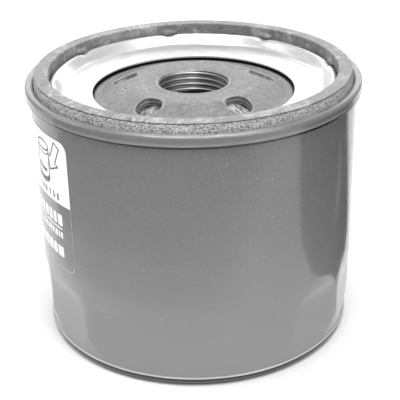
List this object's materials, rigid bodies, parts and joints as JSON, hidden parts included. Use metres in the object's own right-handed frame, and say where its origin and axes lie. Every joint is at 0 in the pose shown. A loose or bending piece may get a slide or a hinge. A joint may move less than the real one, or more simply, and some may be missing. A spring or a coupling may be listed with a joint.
{
  "type": "spin-on oil filter",
  "caption": "Spin-on engine oil filter: grey drawn can with wrench flats, seamed cover, square-section gasket and threaded plate with oil inlets.",
  "frame": {"origin": "centre of the closed end, on the surface it stands on", "axes": "+Z along the filter's axis, out of the threaded end; the gap between label and camera side faces -Y"},
  "size_m": [0.093, 0.093, 0.076],
  "materials": {
    "can_paint": "glossy grey enamel",
    "label_ink": "screen-printed film",
    "tinned_steel": "bright tinned",
    "seam_compound": "matt",
    "plate_steel": "matt zinc-phosphated pressing",
    "weld_steel": "satin",
    "gasket_rubber": "moulded, talc-dusted",
    "nitrile_rubber": "smooth, oiled",
    "cap_steel": "zinc plated",
    "filter_paper": "resin-impregnated",
    "clip_steel": "bright",
    "tube_steel": "perforated strip",
    "potting": "cured plastisol",
    "nylon": "natural moulded nylon",
    "spring_steel": "drawn wire",
    "leaf_steel": "blued spring strip"
  },
  "bodies": {
    "housing": {"can": "can_paint", "label": "label_ink", "seaming_lid": "tinned_steel", "seam_compound": "seam_compound", "base_plate": "plate_steel", "spot_welds": "weld_steel", "gasket": "gasket_rubber", "element_spring": "leaf_steel"},
    "element": {"upper_end_cap": "cap_steel", "lower_end_cap": "cap_steel", "pleated_media": "filter_paper", "media_clip": "clip_steel", "center_tube": "tube_steel", "upper_potting": "potting", "lower_potting": "potting", "bypass_cage": "cap_steel", "bypass_spring": "spring_steel"},
    "bypass_valve": {"bypass_poppet": "nylon", "bypass_seal": "nitrile_rubber"},
    "drainback_lip": {"anti_drainback_valve": "nitrile_rubber"}
  },
  "joints": [
    {"name": "element_float", "type": "slide", "parent": "housing", "child": "element", "axis": [0, 0, -1], "range_m": [0, 0.0015], "stiffness_N_per_m": 20000, "springref_m": -0.003, "deforming": ["element_spring"]},
    {"name": "bypass_lift", "type": "slide", "parent": "element", "child": "bypass_valve", "axis": [0, 0, 1], "range_m": [0, 0.0035], "stiffness_N_per_m": 1500, "springref_m": -0.0107, "deforming": ["bypass_spring"]},
    {"name": "drainback_lip_open", "type": "slide", "parent": "housing", "child": "drainback_lip", "axis": [0, 0, -1], "range_m": [0, 0.0012], "stiffness_N_per_m": 400, "springref_m": -0.002, "deforming": ["anti_drainback_valve"]}
  ]
}
